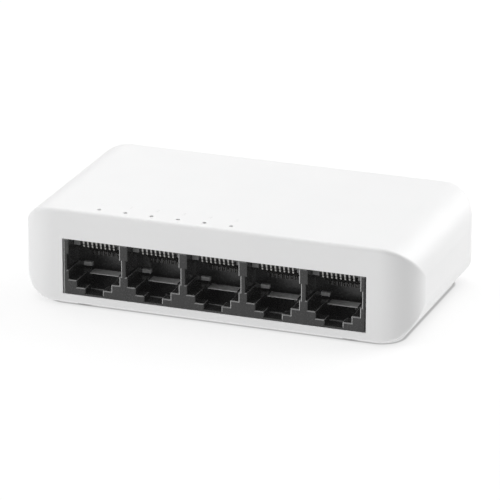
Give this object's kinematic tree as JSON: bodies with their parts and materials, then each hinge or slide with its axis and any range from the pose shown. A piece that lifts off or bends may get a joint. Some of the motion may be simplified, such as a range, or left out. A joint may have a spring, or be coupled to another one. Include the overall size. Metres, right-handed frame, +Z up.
{
  "type": "desktop network switch",
  "caption": "Small white desktop network switch with a row of modular ports in front, pin-hole status lights on top and a barrel power inlet at the back.",
  "frame": {"origin": "centre of the bounding box at the plane of the feet", "axes": "+X to the right of someone facing the ports, +Y towards the back, +Z up"},
  "size_m": [0.0926, 0.048, 0.0224],
  "materials": {
    "white_shell": "fine spark-eroded texture, moulded white",
    "black_moulding": "glass-filled black moulding, slight sheen",
    "carrier_resin": "dark grey moulding",
    "pale_plate": "pale grey satin",
    "contact_metal": "nickel-plated spring bronze",
    "terminal_metal": "tin-plated strip",
    "board_laminate": "green solder resist",
    "chip_resin": "matt black moulding resin",
    "can_metal": "drawn can",
    "ferrite": "pressed ferrite",
    "ceramic": "fired ceramic",
    "light_lens": "clear resin",
    "screw_steel": "zinc plated",
    "foot_rubber": "matt, pale grey",
    "label_film": "blank silver-white film"
  },
  "bodies": {
    "case": {"top_shell": "white_shell", "bottom_shell": "white_shell", "port_housing": "black_moulding", "power_jack_housing": "black_moulding", "port_1_carrier": "carrier_resin", "port_2_carrier": "carrier_resin", "port_3_carrier": "carrier_resin", "port_4_carrier": "carrier_resin", "port_5_carrier": "carrier_resin", "port_1_floor_insert": "pale_plate", "port_2_floor_insert": "pale_plate", "port_3_floor_insert": "pale_plate", "port_4_floor_insert": "pale_plate", "port_5_floor_insert": "pale_plate", "port_1_tails": "contact_metal", "port_2_tails": "contact_metal", "port_3_tails": "contact_metal", "port_4_tails": "contact_metal", "port_5_tails": "contact_metal", "power_jack_pin": "terminal_metal", "power_jack_leaf_terminal": "terminal_metal", "power_jack_switch_contact": "terminal_metal", "main_board": "board_laminate", "switch_chip": "chip_resin", "voltage_regulator": "chip_resin", "port_1_transformer": "chip_resin", "port_2_transformer": "chip_resin", "port_3_transformer": "chip_resin", "port_4_transformer": "chip_resin", "port_5_transformer": "chip_resin", "crystal": "can_metal", "input_capacitor": "can_metal", "output_capacitor": "can_metal", "power_inductor": "ferrite", "ceramic_capacitors": "ceramic", "resistors": "ceramic", "power_light": "light_lens", "port_1_light": "light_lens", "port_2_light": "light_lens", "port_3_light": "light_lens", "port_4_light": "light_lens", "port_5_light": "light_lens", "board_screws": "screw_steel", "case_screws": "screw_steel", "rubber_foot_1": "foot_rubber", "rubber_foot_2": "foot_rubber", "rubber_foot_3": "foot_rubber", "rubber_foot_4": "foot_rubber", "rating_label": "label_film"},
    "port_1_contact_row": {"port_1_contacts": "contact_metal"},
    "port_2_contact_row": {"port_2_contacts": "contact_metal"},
    "port_3_contact_row": {"port_3_contacts": "contact_metal"},
    "port_4_contact_row": {"port_4_contacts": "contact_metal"},
    "port_5_contact_row": {"port_5_contacts": "contact_metal"},
    "power_leaf": {"power_jack_leaf": "terminal_metal"}
  },
  "joints": [
    {"name": "port_1_contact_flex", "type": "hinge", "parent": "case", "child": "port_1_contact_row", "pos_m": [-0.02794, -0.02067, 0.01366], "axis": [1, 0, 0], "range_deg": [0, 12], "stiffness_Nm_per_rad": 0.24},
    {"name": "port_2_contact_flex", "type": "hinge", "parent": "case", "child": "port_2_contact_row", "pos_m": [-0.01397, -0.02067, 0.01366], "axis": [1, 0, 0], "range_deg": [0, 12], "stiffness_Nm_per_rad": 0.24},
    {"name": "port_3_contact_flex", "type": "hinge", "parent": "case", "child": "port_3_contact_row", "pos_m": [0, -0.02067, 0.01366], "axis": [1, 0, 0], "range_deg": [0, 12], "stiffness_Nm_per_rad": 0.24},
    {"name": "port_4_contact_flex", "type": "hinge", "parent": "case", "child": "port_4_contact_row", "pos_m": [0.01397, -0.02067, 0.01366], "axis": [1, 0, 0], "range_deg": [0, 12], "stiffness_Nm_per_rad": 0.24},
    {"name": "port_5_contact_flex", "type": "hinge", "parent": "case", "child": "port_5_contact_row", "pos_m": [0.02794, -0.02067, 0.01366], "axis": [1, 0, 0], "range_deg": [0, 12], "stiffness_Nm_per_rad": 0.24},
    {"name": "power_leaf_flex", "type": "hinge", "parent": "case", "child": "power_leaf", "pos_m": [-0.024, 0.012, 0.0145], "axis": [1, 0, 0], "range_deg": [0, 4], "stiffness_Nm_per_rad": 0.22}
  ]
}
